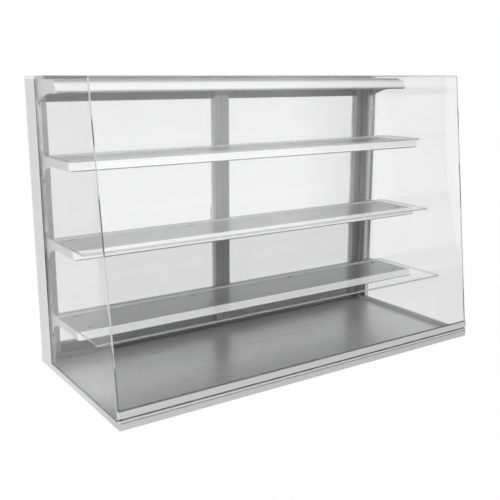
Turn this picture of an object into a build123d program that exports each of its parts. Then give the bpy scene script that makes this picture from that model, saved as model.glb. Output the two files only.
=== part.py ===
from build123d import *
import math
import os

# Countertop glass display case, in millimetres.
# The model is laid out with X centred, Y from the base's front edge to the rear, and Z from the base's
# underside. Every piece is then moved so that the origin is under the middle of the whole case, on the table.

# ---- overall sizes ----
case_width = 1200.0
base_depth = 540.0
base_height = 17.0
glass_top_height = 812.0          # top face of the top glass, above the base's underside

# ---- sheet and clearances ----
sheet = 1.2                       # tray and deck sheet
pan_sheet = 1.2                   # base pan sheet
slip_gap = 0.3                    # between pieces that are slid or dropped into place
rod_fit = 0.05                    # radial clearance of rods and pins in their holes
cut_over = 1.0                    # how far a cut passes beyond the face it opens

# ---- base ----
rim_width = 5.0                   # folded rim around the base
rim_lip_gap = 0.6                 # the rim's inner lip stops this far above the pan's floor
deck_height = 5.4                 # top face of the deck plate
pad_height = 2.0
pad_length = 60.0
pad_width = 20.0
pad_inset = 30.0

# ---- slotted columns at the back ----
column_width = 15.0
column_depth = 76.0
column_rear_gap = 4.0             # columns' rear faces in front of the base's rear edge
column_wall = 2.0
slot_inset = 10.6                 # slots' middle from the column's outer face
slot_width = 4.6
slot_height = 12.0
slot_pitch = 25.0
slot_count = 3
first_slot_drop = 17.0            # slot's centre below the top of the arm it carries
cap_width = 26.0
cap_height = 9.0
cap_chamfer = 0.8

# ---- top rail, header and sill ----
rail_sheet = 1.5
rail_leg_drop = 12.0              # rear leg of the top rail, below the columns' top
header_depth = 28.5
header_height = 32.0
sill_rise = 8.0                   # sill's top above the base's rim
sill_sheet = 2.0
seal_depth = 18.5
seal_thickness = 3.0
seal_edge_radius = 1.0
screw_radius = 2.0
screw_head_radius = 3.8
screw_head_height = 2.2
screw_head_round = 1.0
screw_length = 10.0
recess_length = 3.2               # cross recess in the screw's head
recess_width = 0.8
recess_depth = 0.9
screw_count = 6
screw_end_distance = 90.0

# ---- doors ----
door_thickness = 25.0
door_setback = 5.0                # door's rear face in front of the columns' rear faces
door_stile_width = 25.0
door_side_gap = 5.5
door_seam_gap = 1.5
door_floor_gap = 2.0
door_head_gap = 3.0
door_rail_height = 24.5
door_wall = 1.5
groove_depth = 8.0
groove_width = 8.0
pane_thickness = 4.0
pane_bite = 6.0                   # how far the pane reaches into the groove
gasket_lip = 2.0
pivot_inset = 12.0                # pin's axis from the door's hinge edge
pivot_from_front = 15.0           # pin's axis from the door's front face
pin_radius = 3.0
pin_length = 9.0
plug_length = 30.0
bush_radius = 5.0
bush_flange_radius = 8.0
bush_depth = 6.0
handle_width = 10.0
handle_height = 100.0
handle_reach = 24.0
handle_bar = 8.0
handle_centre_height = 354.0
handle_from_seam = 12.25
handle_corner_radius = 9.0
handle_grip_radius = 6.0
handle_edge_radius = 2.0
catch_width = 70.0
catch_depth = 9.0
catch_above = 20.0                # catch's top above the header's underside
catch_below = 18.0                # catch's foot below the header's underside
strike_thickness = 1.2
strike_width = 26.0
catch_gap = 0.4
catch_edge_radius = 2.0
strike_from_seam = 3.0
strike_edge_gap = 1.0             # strike's ends inside the catch's and the door's

# ---- end and top glass ----
end_glass_thickness = 4.0
top_glass_thickness = 6.0
end_seal_height = 1.5
glass_joint_gap = 0.8             # between the closed front glass and the glass behind it
top_seal_width = 18.0
top_seal_height = 4.0             # between the columns' top and the top glass
top_seal_rear_gap = 8.0

# ---- front glass and its rails ----
front_glass_thickness = 8.0
front_glass_side_inset = 1.2
front_lean = 6.91                 # degrees, leaning back
front_glass_y = 7.83              # middle of the glass's thickness, at the clamp rail's top
clamp_depth = 15.0
clamp_height = 17.0
clamp_floor = 5.8                 # glass's foot above the clamp rail's underside
clamp_edge_radius = 0.8
clamp_gasket = 0.8
clamp_gasket_show = 1.5           # gasket standing above the clamp rail
end_cap_width = 4.0
end_cap_gap = 0.4
end_cap_setback = 1.0             # the end cap is this much smaller than the rail below and behind
base_rail_depth = 14.0
base_rail_setback = 0.5
base_rail_height = 6.5
base_rail_leg = 3.0
base_rail_seal_height = 1.5
base_rail_seal_setback = 1.5
base_cap_depth = 8.0
hinge_y = 2.0
hinge_half_gap = 2.0              # rod's axis above the base rail, and below the clamp rail
hinge_rod_radius = 1.0
knuckle_radius = 1.7
knuckle_count = 13                # odd ones on the base rail, even ones on the clamp rail
knuckle_length = 40.0
knuckle_end_distance = 6.0
hinge_rod_overhang = 2.0          # rod's end beyond the last knuckle

# ---- shelves ----
shelf_levels = {"top": 611.0, "middle": 388.0, "bottom": 175.0}       # top faces of the glass shelves
shelf_reach = {"top": 218.0, "middle": 271.0, "bottom": 336.0}        # their front edges, from the columns
shelf_glass_thickness = 6.0
shelf_glass_rear_gap = 60.0       # from the columns' front faces
shelf_glass_side_gap = 0.6
shelf_glass_chamfer = 0.5
bumper_height = 2.0
bumper_radius = 5.0
bumpers_per_row = 4
bumper_end_distance = 40.0
bumper_front_inset = 24.0         # front row behind the fascia's top
bumper_rear_inset = 10.0          # rear row in front of the glass shelf's rear edge
tray_reach = 202.5                # top of the fascia, from the columns' front faces
tray_front_lean = 8.5             # how much further forward the fascia's foot is
tray_rear_gap = 15.0
tray_drop = 22.0                  # height of the fascia
tray_corner_radius = 12.0
fold_radius = 2.0                 # outer radius of the sheet's other folds
tray_return = 14.0
tray_rear_lip = 14.0
arm_thickness = 3.0
arm_flange_width = 15.0
arm_flange_thickness = 2.0
arm_flange_setback = 27.5         # flange's front end behind the fascia's top
arm_flange_rear_gap = 22.0
gusset_length = 90.0              # quarter ellipse under the arm: its half length and half height
gusset_drop = 35.0
gusset_foot = 2.0                 # straight foot of the arm below and behind the curve
hook_grip = 4.0                   # hook behind the column's wall
hook_top = 1.0                    # hook's tongue above the slot's centre
hook_drop = 4.8                   # hook's tip below the slot's lower edge
price_rail_back = 1.0
price_rail_depth = 3.2
price_rail_lip = 3.0
price_rail_wall = 1.0             # rail's top and foot
price_rail_height = 20.6
price_rail_side_inset = 5.0
card_thickness = 0.4
card_slot_play = 0.2              # between the card and the lips in front of it
card_edge_play = 0.1              # above and below the card
card_end_play = 1.0

# ---- canopy, a short shelf without glass at the top ----
canopy_reach = 113.5              # front end of the flat top, from the columns' front faces
canopy_nose_reach = 130.0         # top of the fascia
canopy_nose_drop = 7.5
canopy_toe_reach = 145.5          # foot of the fascia
canopy_drop = 34.0
canopy_rear_gap = 4.0
canopy_first_slot_drop = 12.0
canopy_gusset_start = 98.0        # where the arm's underside begins to curve down, from the column
canopy_gusset_radius = 205.0
canopy_gusset_foot = 22.0         # foot of the curve below the arm's underside
canopy_price_rail_height = 26.0

# ---- derived places ----
half_width = case_width / 2
glass_underside = glass_top_height - top_glass_thickness
column_top = glass_underside - top_seal_height
column_rear = base_depth - column_rear_gap
column_front = column_rear - column_depth
column_inner = half_width - column_width
slot_x = half_width - slot_inset
door_rear = column_rear - door_setback
door_front = door_rear - door_thickness
sill_height = base_height + sill_rise
header_bottom = column_top - header_height
door_bottom = sill_height + door_floor_gap
door_top = header_bottom - door_head_gap
door_outer = column_inner - door_side_gap
door_seam = door_seam_gap / 2
pivot_x = door_outer - pivot_inset
pivot_y = door_front + pivot_from_front
catch_top = header_bottom + catch_above
catch_bottom = header_bottom - catch_below
base_rail_bottom = base_height + base_rail_seal_height
base_rail_top = base_rail_bottom + base_rail_height
hinge_z = base_rail_top + hinge_half_gap
clamp_bottom = hinge_z + hinge_half_gap
clamp_top = clamp_bottom + clamp_height
front_glass_foot = clamp_bottom + clamp_floor
shelf_glass_rear = column_front - shelf_glass_rear_gap
tray_rear = column_front - tray_rear_gap
tray_front = column_front - tray_reach
canopy_front = column_front - canopy_reach
canopy_nose = column_front - canopy_nose_reach
canopy_toe = column_front - canopy_toe_reach
overall_depth = door_rear + handle_reach
lean_slope = math.tan(math.radians(front_lean))
fascia_slope = tray_front_lean / tray_drop


def box(x0, x1, y0, y1, z0, z1):
    """Box between two corners."""
    return Pos((x0 + x1) / 2, (y0 + y1) / 2, (z0 + z1) / 2) * Box(x1 - x0, y1 - y0, z1 - z0)


def profile(points, x0, x1):
    """Closed outline of (y, z) points, drawn out along X from x0 to x1."""
    outline = Polyline([(0, y, z) for y, z in points], close=True)
    face = make_face(outline)
    return Pos(x0, 0, 0) * extrude(face, amount=x1 - x0, dir=(1, 0, 0))


def rod(x, y, z, radius, length, direction):
    """Round bar that starts at a point and runs along a direction."""
    return extrude(Plane((x, y, z), z_dir=direction) * Circle(radius), amount=length)


def mirrored(shape):
    """The same piece on the other side of the case."""
    return mirror(shape, about=Plane.YZ)


def group(shapes):
    """Several separate solids in one node."""
    return Compound([solid for shape in shapes for solid in shape.solids()])


def pair(shape):
    """A piece and its mirror image, as two solids."""
    return group([shape, mirrored(shape)])


def save(shape, node):
    """Move a piece to the case's origin and write it."""
    placed = Pos(0, -overall_depth / 2, pad_height) * shape
    export_step(placed, "parts/" + node + ".step")


def spread(count, first, last):
    """Evenly spaced places from first to last."""
    return [first + (last - first) * i / (count - 1) for i in range(count)]


# ---- base ----
def base_pan():
    """Pan of folded sheet: floor, outer wall, flat rim and an inner lip that stops above the floor."""
    shell = box(-half_width, half_width, 0, base_depth, 0, base_height)
    inside = rim_width
    shell -= box(-half_width + inside, half_width - inside, inside, base_depth - inside,
                 pan_sheet, base_height)
    channel_out = pan_sheet
    channel_in = rim_width - pan_sheet
    cavity = box(-half_width + channel_out, half_width - channel_out, channel_out, base_depth - channel_out,
                 pan_sheet, base_height - pan_sheet)
    cavity -= box(-half_width + channel_in, half_width - channel_in, channel_in, base_depth - channel_in,
                  pan_sheet, base_height - pan_sheet)
    under_lip = box(-half_width + channel_out, half_width - channel_out, channel_out,
                    base_depth - channel_out, pan_sheet, pan_sheet + rim_lip_gap)
    return shell - cavity - under_lip


def column_foot():
    """Solid block in the pan under the part of the column that stands inside the rim."""
    return box(column_inner, half_width - rim_width, column_front, base_depth - rim_width - slip_gap,
               pan_sheet, base_height)


def deck_plate():
    """Removable deck: flat sheet with a folded skirt that stands on the pan's floor."""
    x1 = half_width - rim_width - slip_gap
    y0 = rim_width + slip_gap
    y1 = door_front - slip_gap
    plate = box(-x1, x1, y0, y1, pan_sheet, deck_height)
    notch_x = column_inner - slip_gap
    notch_y = column_front - slip_gap
    for side in (-1, 1):
        plate -= Pos(side * (notch_x + half_width) / 2, (notch_y + base_depth) / 2, base_height / 2) * Box(
            half_width - notch_x, base_depth - notch_y, base_height)
    hollow = box(-x1 + sheet, x1 - sheet, y0 + sheet, notch_y - sheet, pan_sheet, deck_height - sheet)
    hollow += box(-notch_x + sheet, notch_x - sheet, notch_y - sheet, y1 - sheet,
                  pan_sheet, deck_height - sheet)
    return plate - hollow


def base_pads():
    """Non-slip pads under the base: one at each corner and two in the middle."""
    pads = []
    x_end = half_width - pad_inset - pad_length / 2
    for x in (-x_end, 0, x_end):
        for y in (pad_inset, base_depth - pad_inset):
            pads.append(Pos(x, y, -pad_height / 2) * Box(pad_length, pad_width, pad_height))
    return group(pads)


# ---- columns and frame ----
def slot_heights(arm_top):
    """Centres of the slots that belong to an arm."""
    return [arm_top - first_slot_drop - slot_pitch * i for i in range(slot_count)]


arm_tops = {name: level - shelf_glass_thickness - bumper_height for name, level in shelf_levels.items()}
canopy_slots = [column_top - canopy_first_slot_drop - slot_pitch * i for i in range(slot_count)]


def column():
    """Flat tube with a row of slots in its front wall for each arm."""
    tube = box(column_inner, half_width, column_front, column_rear, base_height, column_top)
    tube -= box(column_inner + column_wall, half_width - column_wall, column_front + column_wall,
                column_rear - column_wall, base_height, column_top)
    heights = list(canopy_slots)
    for arm_top in arm_tops.values():
        heights += slot_heights(arm_top)
    for z in heights:
        tube -= box(slot_x - slot_width / 2, slot_x + slot_width / 2, column_front,
                    column_front + column_wall, z - slot_height / 2, z + slot_height / 2)
    return tube


def column_cap():
    """Block that closes the column's top and laps over the header's end."""
    cap = box(half_width - cap_width, half_width, column_front, column_rear,
              column_top, column_top + cap_height)
    top_edges = cap.edges().group_by(Axis.Z)[-1]
    return chamfer(top_edges, cap_chamfer)


def header_screw_places():
    """X of the screws through the top rail's rear leg."""
    x_end = half_width - screw_end_distance
    return spread(screw_count, -x_end, x_end)


screw_z = column_top - rail_leg_drop / 2


def door_header():
    """Square tube between the columns, above the doors."""
    y1 = door_front + header_depth
    z0 = header_bottom
    tube = box(-column_inner, column_inner, door_front, y1, z0, column_top)
    tube -= box(-column_inner, column_inner, door_front + rail_sheet, y1 - rail_sheet,
                z0 + rail_sheet, column_top - rail_sheet)
    for x in header_screw_places():
        tube -= rod(x, y1, screw_z, screw_radius + rod_fit, rail_sheet + cut_over, (0, -1, 0))
    for side in (-1, 1):
        tube -= rod(side * pivot_x, pivot_y, z0, bush_radius, rail_sheet + cut_over, (0, 0, 1))
    return tube


def top_rail():
    """Folded rail between the caps: flat top, front leg, and a rear leg screwed to the header."""
    x1 = half_width - cap_width
    y1 = door_front + header_depth
    top = column_top + cap_height
    rail = box(-x1, x1, column_front, y1 + rail_sheet, top - rail_sheet, top)
    rail += box(-x1, x1, column_front, column_front + rail_sheet, column_top, top)
    rail += box(-x1, x1, y1, y1 + rail_sheet, column_top - rail_leg_drop, top)
    rib_y = door_front + header_depth / 2
    rail += box(-x1, x1, rib_y, rib_y + rail_sheet, column_top, top)
    for x in header_screw_places():
        rail -= rod(x, y1, screw_z, screw_radius + rod_fit, rail_sheet + cut_over, (0, 1, 0))
    return rail


def frame_screws():
    """Pan-head screws that hold the top rail's rear leg to the header."""
    face = door_front + header_depth + rail_sheet
    screws = []
    for x in header_screw_places():
        head = rod(x, face, screw_z, screw_head_radius, screw_head_height, (0, 1, 0))
        head = fillet(head.edges().group_by(Axis.Y)[-1], screw_head_round)
        shank = rod(x, face, screw_z, screw_radius, screw_length, (0, -1, 0))
        cross = Box(recess_length, 2 * recess_depth, recess_width)
        cross += Box(recess_width, 2 * recess_depth, recess_length)
        recess = Pos(x, face + screw_head_height, screw_z) * cross
        screws.append(head + shank - recess)
    return group(screws)


def door_sill():
    """Folded channel between the column feet that the doors' lower pins stand in."""
    y1 = base_depth - rim_width - slip_gap
    sill = box(-column_inner, column_inner, door_front, y1, pan_sheet, sill_height)
    sill -= box(-column_inner, column_inner, door_front + sill_sheet, y1 - sill_sheet,
                pan_sheet, sill_height - sill_sheet)
    for side in (-1, 1):
        sill -= rod(side * pivot_x, pivot_y, sill_height, bush_radius, sill_sheet + cut_over, (0, 0, -1))
    return sill


def jamb_seal():
    """Seal strip on the column's inner face, in front of the door."""
    x1 = column_inner
    strip = box(x1 - seal_thickness, x1, door_front - seal_depth, door_front, deck_height + slip_gap,
                header_bottom)
    long_edges = strip.edges().filter_by(Axis.Z).group_by(Axis.X)[0]
    return fillet(long_edges, seal_edge_radius)


# ---- doors ----
pane_y = door_rear - door_wall - groove_width / 2
window_x0 = door_seam + door_stile_width
window_x1 = door_outer - door_stile_width
window_z0 = door_bottom + door_rail_height
window_z1 = door_top - door_rail_height


def stile(x0, x1, groove_at_left):
    """Hollow upright with a glazing groove along one side."""
    tube = box(x0, x1, door_front, door_rear, door_bottom, door_top)
    web = groove_depth + door_wall
    hollow_x0 = x0 + (web if groove_at_left else door_wall)
    hollow_x1 = x1 - (door_wall if groove_at_left else web)
    tube -= box(hollow_x0, hollow_x1, door_front + door_wall, door_rear - door_wall, door_bottom, door_top)
    groove_x0 = x0 if groove_at_left else x1 - groove_depth
    tube -= box(groove_x0, groove_x0 + groove_depth, pane_y - groove_width / 2, pane_y + groove_width / 2,
                door_bottom, door_top)
    return tube


def door_stiles():
    """Hinge-side and seam-side uprights."""
    return group([stile(window_x1, door_outer, True), stile(door_seam, window_x0, False)])


def cross_rail(z0, z1, groove_on_top):
    """Hollow cross rail with a glazing groove along the side that faces the window."""
    tube = box(window_x0, window_x1, door_front, door_rear, z0, z1)
    web = groove_depth + door_wall
    hollow_z0 = z0 + (door_wall if groove_on_top else web)
    hollow_z1 = z1 - (web if groove_on_top else door_wall)
    tube -= box(window_x0, window_x1, door_front + door_wall, door_rear - door_wall, hollow_z0, hollow_z1)
    groove_z0 = z1 - groove_depth if groove_on_top else z0
    tube -= box(window_x0, window_x1, pane_y - groove_width / 2, pane_y + groove_width / 2,
                groove_z0, groove_z0 + groove_depth)
    return tube


def door_rails():
    """Lower and upper cross rails."""
    return group([cross_rail(door_bottom, window_z0, True), cross_rail(window_z1, door_top, False)])


def door_pane(grow, thickness):
    """Block around the pane's place: the pane itself, grown by a margin in its own plane."""
    return box(window_x0 - grow, window_x1 + grow, pane_y - thickness / 2, pane_y + thickness / 2,
               window_z0 - grow, window_z1 + grow)


def door_glass():
    """Pane of one door."""
    return door_pane(pane_bite, pane_thickness)


def door_gasket():
    """Glazing gasket: fills the groove around the pane's edge and shows as a thin lip."""
    return door_pane(groove_depth, groove_width) - door_pane(-gasket_lip, groove_width) - door_glass()


def door_handle():
    """Pull handle on the rear face of the seam-side upright."""
    x0 = door_seam + handle_from_seam - handle_width / 2
    z0 = handle_centre_height - handle_height / 2
    outer = box(x0, x0 + handle_width, door_rear, door_rear + handle_reach, z0, z0 + handle_height)
    outer = fillet(outer.edges().filter_by(Axis.X).group_by(Axis.Y)[-1], handle_corner_radius)
    inner = box(x0, x0 + handle_width, door_rear, door_rear + handle_reach - handle_bar,
                z0 + handle_bar, z0 + handle_height - handle_bar)
    inner = fillet(inner.edges().filter_by(Axis.X).group_by(Axis.Y)[-1], handle_grip_radius)
    handle = outer - inner
    return fillet(handle.edges().filter_by(Axis.Z).group_by(Axis.Y)[-1], handle_edge_radius)


def door_pivot(at_top):
    """Plug in the hinge-side upright's end, with the pin that turns in the bush."""
    hollow_x0 = window_x1 + groove_depth + door_wall
    hollow_x1 = door_outer - door_wall
    y0 = door_front + door_wall
    y1 = door_rear - door_wall
    if at_top:
        plug = box(hollow_x0, hollow_x1, y0, y1, door_top - plug_length, door_top)
        return plug + rod(pivot_x, pivot_y, door_top, pin_radius, pin_length, (0, 0, 1))
    plug = box(hollow_x0, hollow_x1, y0, y1, door_bottom, door_bottom + plug_length)
    return plug + rod(pivot_x, pivot_y, door_bottom, pin_radius, pin_length, (0, 0, -1))


def door_pivots():
    """Lower and upper pivot of one door."""
    return group([door_pivot(False), door_pivot(True)])


def pivot_bush(z_face, flange, direction):
    """Flanged bush: its flange stands on the frame's face and its sleeve goes into the frame."""
    up = (0, 0, direction)
    down = (0, 0, -direction)
    bush = rod(pivot_x, pivot_y, z_face, bush_flange_radius, flange, up)
    bush += rod(pivot_x, pivot_y, z_face, bush_radius, bush_depth, down)
    bore = rod(pivot_x, pivot_y, z_face + direction * flange, pin_radius + rod_fit,
               flange + bush_depth + cut_over, down)
    return bush - bore


def pivot_bushes():
    """Four bushes, in the sill and in the header."""
    lower = pivot_bush(sill_height, door_floor_gap - slip_gap, 1)
    upper = pivot_bush(header_bottom, door_head_gap - slip_gap, -1)
    return group([lower, upper, mirrored(lower), mirrored(upper)])


catch_rear = door_front - strike_thickness - catch_gap


def magnetic_catch():
    """Catch body on the header's front face, hanging in front of both doors' upper corners."""
    x1 = catch_width / 2
    body = box(-x1, x1, catch_rear - catch_depth, catch_rear, catch_bottom, catch_top)
    body += box(-x1, x1, catch_rear, door_front, header_bottom, catch_top)
    return fillet(body.edges().filter_by(Axis.X).group_by(Axis.Y)[0], catch_edge_radius)


def door_strike():
    """Steel plate on the door's front face that the catch holds."""
    x0 = door_seam + strike_from_seam
    return box(x0, x0 + strike_width, door_front - strike_thickness, door_front,
               catch_bottom + strike_edge_gap, door_top - strike_edge_gap)


# ---- front glass ----
def lean_y(z):
    """Y of the middle of the front glass at a height."""
    return front_glass_y + lean_slope * (z - clamp_top)


half_glass_y = front_glass_thickness / 2 / math.cos(math.radians(front_lean))


def leaning_block(x0, x1, thickness, z_low, z_high):
    """Slab along the front glass's plane, with level ends."""
    half = thickness / 2 / math.cos(math.radians(front_lean))
    points = [(lean_y(z_low) - half, z_low), (lean_y(z_low) + half, z_low),
              (lean_y(z_high) + half, z_high), (lean_y(z_high) - half, z_high)]
    return profile(points, x0, x1)


glass_x1 = half_width - front_glass_side_inset
clamp_x1 = half_width - end_cap_width
clamp_slot = front_glass_thickness + 2 * clamp_gasket


def front_glass():
    """Leaning front glass."""
    return leaning_block(-glass_x1, glass_x1, front_glass_thickness, front_glass_foot, glass_top_height)


def clamp_slot_block(z_high, margin):
    """Space in the clamp rail and its end caps for the glass and its gasket."""
    x1 = glass_x1 + margin
    return leaning_block(-x1, x1, clamp_slot, front_glass_foot - clamp_gasket, z_high)


def glass_clamp_gasket():
    """Gasket around the glass's foot, with an edge that stands above the clamp rail."""
    return clamp_slot_block(clamp_top + clamp_gasket_show, 0) - leaning_block(
        -glass_x1, glass_x1, front_glass_thickness, front_glass_foot, glass_top_height)


def knuckle_places():
    """Centres of the hinge knuckles along the rail."""
    x_end = clamp_x1 - knuckle_length / 2 - knuckle_end_distance
    return spread(knuckle_count, -x_end, x_end)


def knuckles(places, neck_to):
    """Row of knuckles with a neck up or down to the rail that carries them."""
    row = []
    for x in places:
        x0 = x - knuckle_length / 2
        x1 = x + knuckle_length / 2
        neck = box(x0, x1, hinge_y - knuckle_radius, hinge_y + knuckle_radius,
                   min(hinge_z, neck_to), max(hinge_z, neck_to))
        row.append(neck + rod(x0, hinge_y, hinge_z, knuckle_radius, knuckle_length, (1, 0, 0)))
    return row


hinge_bore_radius = hinge_rod_radius + rod_fit


def hinge_bore():
    """Hole for the hinge rod, right through."""
    return rod(-half_width, hinge_y, hinge_z, hinge_bore_radius, case_width, (1, 0, 0))


def glass_clamp_rail():
    """Rail that holds the glass's foot, with the moving knuckles under it."""
    rail = box(-clamp_x1, clamp_x1, 0, clamp_depth, clamp_bottom, clamp_top)
    rail = fillet(rail.edges().filter_by(Axis.X).group_by(Axis.Y)[0], clamp_edge_radius)
    rail -= clamp_slot_block(clamp_top + cut_over, 0)
    for knuckle in knuckles(knuckle_places()[1::2], clamp_bottom):
        rail += knuckle
    return rail - hinge_bore()


def rail_end_cap():
    """End of the clamp rail: same section, closed on the outside."""
    y1 = clamp_depth - end_cap_setback
    z0 = clamp_bottom + end_cap_setback
    cap = box(clamp_x1 + end_cap_gap, half_width, 0, y1, z0, clamp_top)
    cap = cap - clamp_slot_block(clamp_top + cut_over, slip_gap)
    spacer_top = front_glass_foot - clamp_gasket - slip_gap
    spacer = box(clamp_x1, clamp_x1 + end_cap_gap, end_cap_setback, y1 - end_cap_setback, z0, spacer_top)
    return cap + spacer


def base_front_rail():
    """Fixed rail on the base's front rim, with a leg down to the deck and the fixed knuckles on it."""
    x1 = clamp_x1
    rail = box(-x1, x1, base_rail_setback, base_rail_depth, base_rail_bottom, base_rail_top)
    leg_x1 = half_width - rim_width - slip_gap
    leg_y0 = rim_width + slip_gap + sheet
    rail += box(-leg_x1, leg_x1, leg_y0, leg_y0 + base_rail_leg, deck_height, base_rail_bottom)
    for knuckle in knuckles(knuckle_places()[0::2], base_rail_top):
        rail += knuckle
    return rail - hinge_bore()


def base_rail_seal():
    """Dark strip between the base's rim and the fixed rail."""
    return box(-clamp_x1, clamp_x1, base_rail_seal_setback, rim_width, base_height, base_rail_bottom)


def base_rail_end_cap():
    """End of the fixed rail."""
    return box(clamp_x1 + end_cap_gap, half_width, base_rail_setback, base_cap_depth,
               base_height, base_rail_top)


def hinge_rod():
    """Steel rod through all the knuckles."""
    last = knuckle_places()[-1] + knuckle_length / 2 + hinge_rod_overhang
    return rod(-last, hinge_y, hinge_z, hinge_rod_radius, 2 * last, (1, 0, 0))


# ---- end and top glass ----
def glass_back_face(z):
    """Y where the glass behind the front glass may begin at a height."""
    return lean_y(z) + half_glass_y + glass_joint_gap


end_glass_front = clamp_depth + glass_joint_gap


def end_glass():
    """Side pane: leaning front edge, upright foot behind the clamp rail."""
    z0 = base_height + end_seal_height
    z_bend = clamp_top + (end_glass_front - glass_back_face(clamp_top)) / lean_slope
    points = [(end_glass_front, z0), (end_glass_front, z_bend),
              (glass_back_face(glass_underside), glass_underside),
              (column_front, glass_underside), (column_front, z0)]
    return profile(points, half_width - end_glass_thickness, half_width)


def end_glass_seal():
    """Seal between the base's rim and the side pane."""
    return box(half_width - end_glass_thickness, half_width, end_glass_front, column_front,
               base_height, base_height + end_seal_height)


def top_glass():
    """Top pane, on the side panes."""
    return box(-half_width, half_width, glass_back_face(glass_top_height), column_front - slip_gap,
               glass_underside, glass_top_height)


def top_glass_seal():
    """Strip on the canopy that carries the top pane's rear edge."""
    x1 = column_inner - cap_width
    y1 = column_front - top_seal_rear_gap
    return box(-x1, x1, y1 - top_seal_width, y1, column_top, glass_underside)


# ---- shelves and canopy ----
arm_outer = slot_x + arm_thickness / 2
arm_inner = slot_x - arm_thickness / 2
tray_end = arm_inner - slip_gap


def hooks(heights):
    """Hooks of one arm: a tongue through the slot and a tip down behind the wall."""
    behind = column_front + column_wall + rod_fit
    shapes = []
    for z in heights:
        foot = z - slot_height / 2
        shapes.append(box(arm_inner, arm_outer, column_front, behind + hook_grip, foot, z + hook_top))
        shapes.append(box(arm_inner, arm_outer, behind, behind + hook_grip, foot - hook_drop, foot))
    return shapes


def gusset(bottom, front, length, drop, foot):
    """Web under an arm, from its front end to the column, cut away along an ellipse below the arm."""
    web = box(arm_inner, arm_outer, front, column_front, bottom - foot, bottom)
    centre = Plane((arm_inner, front, bottom - drop), x_dir=(0, 1, 0), z_dir=(1, 0, 0))
    web -= extrude(centre * Ellipse(length, drop), amount=arm_thickness)
    return web - box(arm_inner, arm_outer, front, front + length, bottom - 2 * drop, bottom - drop)


def arm(front_points, top, bottom, web, heights, flange_front):
    """Right-hand arm: plate with its gusset web, a flange for the tray, and two hooks."""
    plate = profile(front_points + [(column_front, bottom), (column_front, top)], arm_inner, arm_outer)
    shelf_top = top - sheet
    flange = box(arm_inner - arm_flange_width, arm_inner, flange_front, column_front - arm_flange_rear_gap,
                 shelf_top - arm_flange_thickness, shelf_top)
    shape = plate + web + flange
    for hook in hooks(heights):
        shape += hook
    return shape


def shelf_arm(top):
    """Right-hand arm of a glass shelf."""
    bottom = top - tray_drop
    front = [(tray_front, top), (tray_front - tray_front_lean, bottom)]
    web = gusset(bottom, column_front - gusset_foot - gusset_length, gusset_length, gusset_drop,
                 gusset_drop + gusset_foot)
    return arm(front, top, bottom, web, slot_heights(top)[:2], tray_front + arm_flange_setback)


def canopy_arm():
    """Right-hand arm of the canopy."""
    bottom = column_top - canopy_drop
    front = [(canopy_front, column_top), (canopy_nose, column_top - canopy_nose_drop), (canopy_toe, bottom)]
    web = gusset(bottom, column_front - canopy_gusset_start, canopy_gusset_radius, canopy_gusset_radius,
                 canopy_gusset_foot)
    return arm(front, column_top, bottom, web, canopy_slots[:2], canopy_front + arm_flange_width)


def folded_sheet(points, radii, x1):
    """Sheet folded along a (y, z) line, drawn out over the width between the arms.

    The line is the sheet's outer face, and the thickness goes to its right.
    """
    line = FilletPolyline([(0, y, z) for y, z in points], radius=radii)
    outline = offset(line, amount=sheet, side=Side.RIGHT)
    face = make_face(outline)
    return Pos(-x1, 0, 0) * extrude(face, amount=2 * x1, dir=(1, 0, 0))


def shelf_tray(top):
    """Tray of a glass shelf: rear lip, flat top, rounded front corner, leaning fascia and return."""
    bottom = top - tray_drop
    toe = tray_front - tray_front_lean
    points = [(tray_rear, top - tray_rear_lip), (tray_rear, top), (tray_front, top), (toe, bottom),
              (toe + tray_return, bottom)]
    return folded_sheet(points, [fold_radius, tray_corner_radius, fold_radius], tray_end)


def canopy_tray():
    """Canopy sheet: rear lip, flat top, bevel, leaning fascia and return."""
    bottom = column_top - canopy_drop
    rear = column_front - canopy_rear_gap
    points = [(rear, column_top - tray_rear_lip), (rear, column_top), (canopy_front, column_top),
              (canopy_nose, column_top - canopy_nose_drop), (canopy_toe, bottom),
              (canopy_toe + tray_return, bottom)]
    return folded_sheet(points, [fold_radius] * 4, tray_end)


def on_fascia(points, lean, origin_y, origin_z):
    """Turn (down, out) pairs along a leaning fascia into (y, z) points."""
    down = Vector(0, -math.sin(lean), -math.cos(lean))
    out = Vector(0, -math.cos(lean), math.sin(lean))
    placed = [Vector(0, origin_y, origin_z) + down * s + out * n for s, n in points]
    return [(p.Y, p.Z) for p in placed]


def price_rail(origin_y, origin_z, lean, height):
    """Extruded rail on a fascia: back, two lips that hold the card, and an open front."""
    back = price_rail_back
    deep = price_rail_depth
    lip = price_rail_lip
    wall = price_rail_wall
    slot = back + card_thickness + card_slot_play
    section = [(0, 0), (height, 0), (height, deep), (height - lip, deep), (height - lip, slot),
               (height - wall, slot), (height - wall, back), (wall, back), (wall, slot), (lip, slot),
               (lip, deep), (0, deep)]
    x1 = half_width - price_rail_side_inset
    return profile(on_fascia(section, lean, origin_y, origin_z), -x1, x1)


def price_card(origin_y, origin_z, lean, height):
    """Card in the price rail."""
    back = price_rail_back
    front = back + card_thickness
    edge = price_rail_wall + card_edge_play
    section = [(edge, back), (height - edge, back), (height - edge, front), (edge, front)]
    x1 = half_width - price_rail_side_inset - card_end_play
    return profile(on_fascia(section, lean, origin_y, origin_z), -x1, x1)


def shelf_fascia(top):
    """Where a glass shelf's price rail sits: top point, lean and height."""
    return tray_front, top, math.atan(fascia_slope), price_rail_height


def canopy_fascia():
    """Where the canopy's price rail sits."""
    run = canopy_drop - canopy_nose_drop
    lean = math.atan((canopy_nose - canopy_toe) / run)
    return canopy_nose, column_top - canopy_nose_drop, lean, canopy_price_rail_height


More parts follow.
